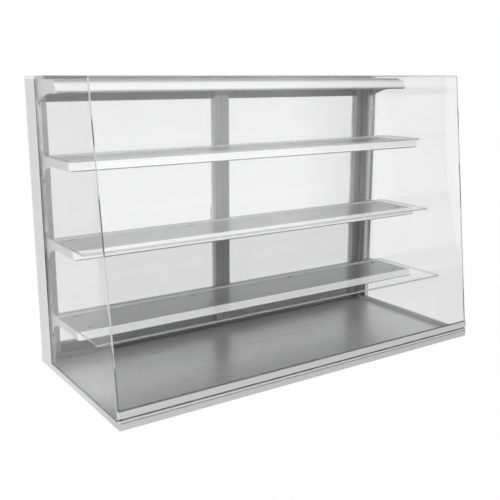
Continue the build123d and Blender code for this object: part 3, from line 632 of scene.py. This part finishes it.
class MakeEffects(CaseStep):
    """Build the shared grain, marks, edge and dust effects, and the materials that use them"""

    bl_idname = "display_case.materials"
    bl_label = "Materials"

    def execute(self, context):
        make_grain_group()
        make_marks_group()
        make_edge_group()
        make_dust_group()
        metal, glass, trim = context.scene.case_metal, context.scene.case_glass, context.scene.case_trim
        rough = metal.roughness
        brushed_metal("Brushed deck", metal.deck, rough - 0.06, (3.0, 800.0, 800.0), dust=0.04, metallic=0.45,
                      relief=0.000003, contrast=0.4)
        brushed_metal("Brushed base", metal.base, rough + 0.04, (3.0, 800.0, 800.0), metallic=0.1)
        brushed_metal("Brushed tray", metal.sheet, rough, (3.0, 700.0, 700.0), dust=0.03, metallic=0.75,
                      relief=0.000004, contrast=0.5)
        brushed_metal("Satin arm", metal.arms, rough + 0.06, (600.0, 6.0, 600.0), metallic=0.5)
        brushed_metal("Satin column", metal.columns, rough - 0.10, (700.0, 700.0, 5.0), relief=0.000003,
                      contrast=0.4)
        brushed_metal("Satin frame", metal.frame, rough + 0.06, (5.0, 700.0, 700.0))
        brushed_metal("Satin door frame", metal.doors, rough - 0.04, (600.0, 600.0, 6.0), metallic=0.55,
                      relief=0.000005, contrast=0.6)
        brushed_metal("Satin door rail", metal.door_rails, rough - 0.04, (6.0, 600.0, 600.0), metallic=0.8)
        brushed_metal("Satin glass rail", metal.rails, rough + 0.02, (5.0, 700.0, 700.0), metallic=0.3,
                      painted_shade_band=RAIL_PAINTED_SHADE)
        brushed_metal("Light price rail", metal.price_rails, 0.45, (5.0, 600.0, 600.0), metallic=0.0)
        # painted shade: a darker copy of the price rails' finish for the canopy's rail
        brushed_metal("Shaded canopy price rail", metal.canopy_rail_shaded, 0.45, (5.0, 600.0, 600.0), metallic=0.0)
        turned_steel("Plated fitting", metal.fittings, 0.28)
        moulded("Black rubber", trim.rubber, 0.7)
        moulded("Grey seal", trim.grey_rubber, 0.6)
        moulded("Light gasket", trim.light_rubber, 0.55)
        moulded("Nylon", trim.bush, 0.5, 900.0, 0.00001)
        card_stock("Price card", trim.card)
        clear_glass("Front glass", glass.tint, glass.ior)
        clear_glass("End glass", glass.tint, share=glass.end_share)
        clear_glass("Top glass", glass.tint, share=glass.top_share)
        clear_glass("Shelf glass", glass.tint, share=glass.shelf_share)
        clear_glass("Door glass", glass.door_tint)
        clear_glass("Clear vinyl", trim.clear, share=0.6, roughness=0.08)
        ground_edge("Ground edge", glass.edge, share=0.6)
        ground_edge("Front edge", glass.front_edge, 0.15, painted_dark_stretches=PAINTED_DARK_EDGE)
        ground_edge("Shelf edge", glass.shelf_edge, 0.15, share=0.75, inner_light=1.7, end_shade=0.45)
        ground_edge("Polished edge", glass.tint, 1.0, 0.06, 0.35)
        return {"FINISHED"}


class FinishBase(CaseStep):
    """Finish the base pan, the deck and the pads"""

    bl_idname = "display_case.base"
    bl_label = "Base"

    def execute(self, context):
        give_all(("base_pan", "column_feet"), material("Brushed base"))
        give("deck_plate", material("Brushed deck"))
        give("base_pads", material("Black rubber"))
        return {"FINISHED"}


class FinishColumns(CaseStep):
    """Finish the slotted columns and their caps"""

    bl_idname = "display_case.columns"
    bl_label = "Columns"

    def execute(self, context):
        give_all([side + "_column" for side in SIDES], material("Satin column"))
        give("column_caps", material("Satin glass rail"))
        give("jamb_seals", material("Grey seal"))
        return {"FINISHED"}


class FinishFrame(CaseStep):
    """Finish the top rail, the header, the sill and their screws"""

    bl_idname = "display_case.frame"
    bl_label = "Top rail and sill"

    def execute(self, context):
        give_all(("top_rail", "door_header", "door_sill"), material("Satin frame"))
        give("frame_screws", material("Plated fitting"))
        give("magnetic_catch", material("Satin frame"))
        give("pivot_bushes", material("Nylon"))
        return {"FINISHED"}


class FinishDoors(CaseStep):
    """Finish the door frames and make the door panes"""

    bl_idname = "display_case.doors"
    bl_label = "Doors"

    def execute(self, context):
        for side in SIDES:
            give(side + "_door_stiles", material("Satin door frame"))
            give(side + "_door_rails", material("Satin door rail"))
            give(side + "_door_gasket", material("Light gasket"))
            give_all([side + "_door_pivots", side + "_door_strike"], material("Plated fitting"))
            box_pane(side + "_door_pane", side + "_door_glass", side + "_door", (0, 2),
                     glass_materials("Door glass"))
        return {"FINISHED"}


class MakeHandles(CaseStep):
    """Make the pull handles: a rounded bar bent to a D"""

    bl_idname = "display_case.handles"
    bl_label = "Door handles"

    bar: length_setting("Bar", "Thickness of the handle's bar", 0.008)
    bend: length_setting("Bend", "Radius of the bar's bends, at its middle", 0.009)

    def execute(self, context):
        for side in SIDES:
            node_name = side + "_door_handle"
            low, high = (np.array(corner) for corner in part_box(node_name))
            half = self.bar / 2
            foot, top, reach = low[2] + half, high[2] - half, high[1] - half
            # each bend is a quarter circle of the bar's middle line, and the upper one mirrors the lower
            turn = np.linspace(0.0, math.pi / 2, 9)
            lower = np.stack([reach - self.bend + self.bend * np.sin(turn),
                              foot + self.bend - self.bend * np.cos(turn)], axis=1)
            upper = lower[::-1] * (1, -1) + (0, foot + top)
            flat = np.concatenate([[(low[1], foot)], lower, upper, [(low[1], top)]])
            middle = np.full((len(flat), 1), (low[0] + high[0]) / 2)
            points, faces = swept_bar(np.hstack([middle, flat]), (1.0, 0.0, 0.0), high[0] - low[0], self.bar,
                                      0.0025)
            piece = mesh_piece(side + "_pull_handle", points, faces, materials=[material("Plated fitting")])
            shade_smooth(piece)
            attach(piece, side + "_door")
            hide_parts(node_name)
        return {"FINISHED"}


class FinishFrontRails(CaseStep):
    """Finish the rails that hold and hinge the front glass"""

    bl_idname = "display_case.front_rails"
    bl_label = "Front rails"

    def execute(self, context):
        give_all(("glass_clamp_rail", "base_front_rail", "rail_end_caps", "base_rail_end_caps"),
                 material("Satin glass rail"))
        give("glass_clamp_gasket", material("Grey seal"))
        give("base_rail_seal", material("Black rubber"))
        give("hinge_rod", material("Plated fitting"))
        return {"FINISHED"}


class MakeCaseGlass(CaseStep):
    """Make the front, end and top panes with ground edges"""

    bl_idname = "display_case.glass"
    bl_label = "Case glass"

    def execute(self, context):
        settings = context.scene.case_glass
        self.make_front(settings)
        for side in SIDES:
            node_name = side + "_end_glass"
            low, high = (np.array(corner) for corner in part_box(node_name))
            origin = ((low[0] + high[0]) / 2, 0.0, 0.0)
            piece = pane(side + "_end_pane", section_corners(node_name, 0), high[0] - low[0], settings.arris,
                         settings.corner, origin, (0.0, 1.0, 0.0), (0.0, 0.0, 1.0),
                         glass_materials("End glass", "Polished edge"))
            finish_pane(piece, node_name, "cabinet")
        box_pane("top_pane", "top_glass", "cabinet", (0, 1),
                 glass_materials("Top glass", "Polished edge"))
        give_all(("end_glass_seals", "top_glass_seal"), material("Clear vinyl"))
        return {"FINISHED"}

    def make_front(self, settings):
        """Leaning pane, from the CAD node's section: the middles of its level foot and head give the lean."""
        low, high = (np.array(corner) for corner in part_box("front_glass"))
        section = section_corners("front_glass", 0)
        foot = section[section[:, 1] < section[:, 1].min() + 1e-4]
        head = section[section[:, 1] > section[:, 1].max() - 1e-4]
        lean = head.mean(axis=0) - foot.mean(axis=0)
        length = np.linalg.norm(lean)
        up = lean / length
        thickness = np.ptp(foot[:, 0]) * up[1]
        trim = thickness / 2 * up[0] / up[1]
        corners = [(low[0], trim), (high[0], trim), (high[0], length - trim), (low[0], length - trim)]
        origin = (0.0, *foot.mean(axis=0))
        piece = pane("front_pane", corners, thickness, settings.arris, settings.corner, origin,
                     (1.0, 0.0, 0.0), (0.0, *up), glass_materials("Front glass", "Front edge"))
        finish_pane(piece, "front_glass", "front_window")


class FinishShelves(CaseStep):
    """Finish the trays, arms and price rails, and make the glass shelves"""

    bl_idname = "display_case.shelves"
    bl_label = "Shelves"

    def execute(self, context):
        for shelf in SHELVES:
            give(shelf + "_shelf_tray", material("Brushed tray"))
            give(shelf + "_shelf_arms", material("Satin arm"))
            give(shelf + "_shelf_price_rail", material("Light price rail"))
            box_pane(shelf + "_shelf_pane", shelf + "_shelf_glass", "cabinet", (0, 1),
                     glass_materials("Shelf glass", "Shelf edge"))
        give("price_cards", material("Price card"))
        return {"FINISHED"}


class MakeBumpers(CaseStep):
    """Make the clear domed bumpers under the glass shelves"""

    bl_idname = "display_case.bumpers"
    bl_label = "Shelf bumpers"

    shoulder: length_setting("Shoulder", "Radius of the bumper's rounded shoulder", 0.0008)

    def execute(self, context):
        mesh = NODES["shelf_bumpers"].data
        places = np.empty(len(mesh.vertices) * 3)
        mesh.vertices.foreach_get("co", places)
        places = places.reshape(-1, 3)
        radius, height = 0.005, 0.002
        # the shoulder is a quarter circle about (radius - shoulder, height - shoulder)
        turn = np.linspace(0.0, math.pi / 2, 5)
        shoulder = np.stack([radius - self.shoulder + self.shoulder * np.cos(turn),
                             height - self.shoulder + self.shoulder * np.sin(turn)], axis=1)
        profile = np.concatenate([[(radius * 0.92, 0.0), (radius, 0.0004)], shoulder])
        # a cell four radii wide holds one bumper at most, whose middle is that of its points
        feet = []
        for shelf in SHELVES:
            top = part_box(shelf + "_shelf_tray")[1][2]
            level = places[np.abs(places[:, 2] - top) < 1e-4]
            cells = np.unique(np.round(level[:, :2] / (4 * radius)), axis=0)
            for cell in cells:
                near = level[np.all(np.abs(level[:, :2] / (4 * radius) - cell) < 0.75, axis=1)]
                feet.append((*((near.min(axis=0) + near.max(axis=0)) / 2)[:2], top))
        feet = np.unique(np.round(np.array(feet), 4), axis=0)
        points, faces = lathe(profile, 20, feet)
        piece = mesh_piece("clear_bumpers", points, faces, materials=[material("Clear vinyl")])
        shade_smooth(piece)
        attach(piece, "cabinet")
        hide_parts("shelf_bumpers")
        return {"FINISHED"}


class FinishCanopy(CaseStep):
    """Finish the canopy, its arms and its price rail"""

    bl_idname = "display_case.canopy"
    bl_label = "Canopy"

    def execute(self, context):
        give("canopy_tray", material("Brushed tray"))
        give("canopy_arms", material("Satin arm"))
        give("canopy_price_rail", material("Shaded canopy price rail"))
        return {"FINISHED"}


class SetStudio(CaseStep):
    """Set the camera, the floor, the lamps and the background"""

    bl_idname = "display_case.studio"
    bl_label = "Studio"

    floor_radius: length_setting("Floor", "Radius of the round floor", 9.0)

    def execute(self, context):
        studio = context.scene.case_studio
        self.make_camera(context, studio)
        self.make_floor(studio)
        self.make_lamps(studio)
        self.make_world(context, studio)
        context.scene.view_settings.view_transform = "Standard"
        return {"FINISHED"}

    def make_camera(self, context, studio):
        """Camera at its place, looking along its heading and down by its pitch."""
        data = bpy.data.cameras.new("case_camera")
        data.lens = studio.lens
        data.sensor_width = 36.0
        data.clip_start = 0.05
        data.clip_end = 60.0
        camera = bpy.data.objects.new("case_camera", data)
        camera.location = studio.camera_place
        turn = Euler((math.pi / 2 - studio.pitch, 0.0, -studio.heading)).to_quaternion()
        lean = Euler((0.0, 0.0, studio.roll)).to_quaternion()
        camera.rotation_mode = "QUATERNION"
        camera.rotation_quaternion = turn @ lean
        context.scene.collection.objects.link(camera)
        context.scene.camera = camera

    def in_front(self, tree, place):
        """How far a direction or a place lies towards the front of the case, whatever its height."""
        level = times(tree, place, (1.0, 1.0, 0.0))
        level = add_node(tree, "ShaderNodeVectorMath", {0: level}, operation="NORMALIZE").outputs[0]
        return ramp(tree, axis_part(tree, level, "Y"), -0.1, -0.4)

    def mirrored(self, tree, path):
        """Whether a ray has been mirrored on its way, and not only gone straight through glass."""
        bounced = maths(tree, "MINIMUM", path["Glossy Depth"], 1.0)
        return maths(tree, "MULTIPLY", path["Is Glossy Ray"], bounced)

    def make_floor(self, studio):
        """Round pale floor, white to the camera and through glass; in reflections it is darker in front."""
        made, tree, shader, output, place = new_material("Pale floor")
        speckle = noise(tree, place, 60.0, 3.0)
        tree.links.new(mix_colour(tree, speckle, (0.80, 0.80, 0.80, 1.0), (0.84, 0.84, 0.84, 1.0)),
                       shader.inputs["Base Color"])
        shader.inputs["Roughness"].default_value = 0.9
        path = add_node(tree, "ShaderNodeLightPath").outputs
        seen = maths(tree, "MAXIMUM", path["Is Camera Ray"], path["Is Transmission Ray"])
        reflected = maths(tree, "MULTIPLY", self.mirrored(tree, path), self.in_front(tree, place))
        away = add_node(tree, "ShaderNodeVectorMath", {0: place}, operation="LENGTH").outputs["Value"]
        # painted shade: in reflections the floor is darker still close to the case
        near = ramp(tree, away, 0.8, 4.0, studio.foreground * 0.15, studio.foreground)
        level = ramp(tree, reflected, 0.0, 1.0, 1.0, near)
        white = add_node(tree, "ShaderNodeEmission", {"Color": WHITE, "Strength": level}).outputs[0]
        share = maths(tree, "MAXIMUM", maths(tree, "MULTIPLY", seen, 0.96), path["Is Glossy Ray"])
        both = add_node(tree, "ShaderNodeMixShader", {0: share, 1: shader.outputs[0], 2: white})
        tree.links.new(both.outputs[0], output.inputs["Surface"])
        turn = np.linspace(0.0, 2 * math.pi, 96, endpoint=False)
        rim = np.stack([np.cos(turn), np.sin(turn), np.zeros_like(turn)], axis=1) * self.floor_radius
        floor = mesh_piece("floor", rim, [list(range(len(rim)))], materials=[made])

    def make_lamps(self, studio):
        """Large soft lamps: one at the left, one low in front that metal and glass don't mirror."""
        target = Vector((0.0, 0.0, 0.35))
        for name, place, size, power in (("left_lamp", (-5.6, -2.6, 0.9), 3.6, studio.key),
                                         ("front_lamp", (-0.9, -3.2, 0.8), 2.4, studio.fill)):
            data = bpy.data.lights.new(name, "AREA")
            data.shape = "SQUARE"
            data.size = size
            data.energy = power
            lamp = bpy.data.objects.new(name, data)
            lamp.location = place
            lamp.rotation_mode = "QUATERNION"
            lamp.rotation_quaternion = (target - Vector(place)).to_track_quat("-Z", "Y")
            lamp.visible_glossy = False
            lamp.visible_transmission = False
            bpy.context.scene.collection.objects.link(lamp)

    def make_world(self, context, studio):
        """Studio: soft light from above, and white behind everything, also in glass and reflections.

        In reflections the front has a low bright band that fades upwards, and a dark foreground.
        """
        world = bpy.data.worlds.new("Studio")
        context.scene.world = world
        world.use_nodes = True
        tree = world.node_tree
        tree.nodes.clear()
        direction = add_node(tree, "ShaderNodeTexCoord").outputs["Generated"]
        height = axis_part(tree, direction, "Z")
        level = ramp(tree, height, -0.03, 0.03, studio.ground, studio.sky)
        around = add_node(tree, "ShaderNodeBackground", {"Color": WHITE, "Strength": level}).outputs[0]
        path = add_node(tree, "ShaderNodeLightPath").outputs
        band = ramp(tree, height, 0.08, 0.21, studio.front_band, studio.front_band * 0.75)
        band = maths(tree, "MULTIPLY", band, ramp(tree, height, 0.25, 0.31, 1.0, 0.2))
        aside = axis_part(tree, direction, "X")
        band = maths(tree, "MULTIPLY", band, ramp(tree, aside, 0.60, 0.70, 1.0, 0.2))
        front = maths(tree, "MULTIPLY", ramp(tree, height, -0.010, -0.003),
                      maths(tree, "SUBTRACT", band, studio.foreground))
        front = maths(tree, "ADD", front, studio.foreground)
        reflected = maths(tree, "MULTIPLY", self.mirrored(tree, path), self.in_front(tree, direction))
        change = maths(tree, "MULTIPLY", reflected, maths(tree, "SUBTRACT", front, 1.0))
        strength = maths(tree, "ADD", change, 1.0)
        white = add_node(tree, "ShaderNodeBackground", {"Color": WHITE, "Strength": strength}).outputs[0]
        seen = maths(tree, "MAXIMUM", path["Is Camera Ray"], path["Is Transmission Ray"])
        seen = maths(tree, "MAXIMUM", seen, path["Is Glossy Ray"])
        both = add_node(tree, "ShaderNodeMixShader", {0: seen, 1: around, 2: white})
        add_node(tree, "ShaderNodeOutputWorld", {"Surface": both.outputs[0]})


STEPS = (MakeEffects, FinishBase, FinishColumns, FinishFrame, FinishDoors, MakeHandles, FinishFrontRails,
         MakeCaseGlass, FinishShelves, MakeBumpers, FinishCanopy, SetStudio)


class CasePanel(bpy.types.Panel):
    """Panel with the case's settings and steps."""

    bl_idname = "VIEW3D_PT_display_case"
    bl_label = "Display case"
    bl_space_type = "VIEW_3D"
    bl_region_type = "UI"
    bl_category = "Display case"

    def draw(self, context):
        layout = self.layout
        for attribute, settings in SETTINGS.items():
            box = layout.box()
            box.label(text=settings.__doc__.strip())
            for key in settings.__annotations__:
                box.prop(getattr(context.scene, attribute), key)
        for step in STEPS:
            layout.operator(step.bl_idname)


def register():
    """Register the settings, the operators and the panel."""
    for kind in (*SETTINGS.values(), *STEPS, CasePanel):
        bpy.utils.register_class(kind)
    for attribute, settings in SETTINGS.items():
        setattr(bpy.types.Scene, attribute, PointerProperty(type=settings))


def unregister():
    """Undo register, in the opposite order."""
    for attribute in SETTINGS:
        delattr(bpy.types.Scene, attribute)
    for kind in reversed((*SETTINGS.values(), *STEPS, CasePanel)):
        bpy.utils.unregister_class(kind)


def main():
    """Build everything, one operator after another."""
    register()
    for step in STEPS:
        area, name = step.bl_idname.split(".")
        getattr(getattr(bpy.ops, area), name)()


if __name__ == "__main__":
    main()
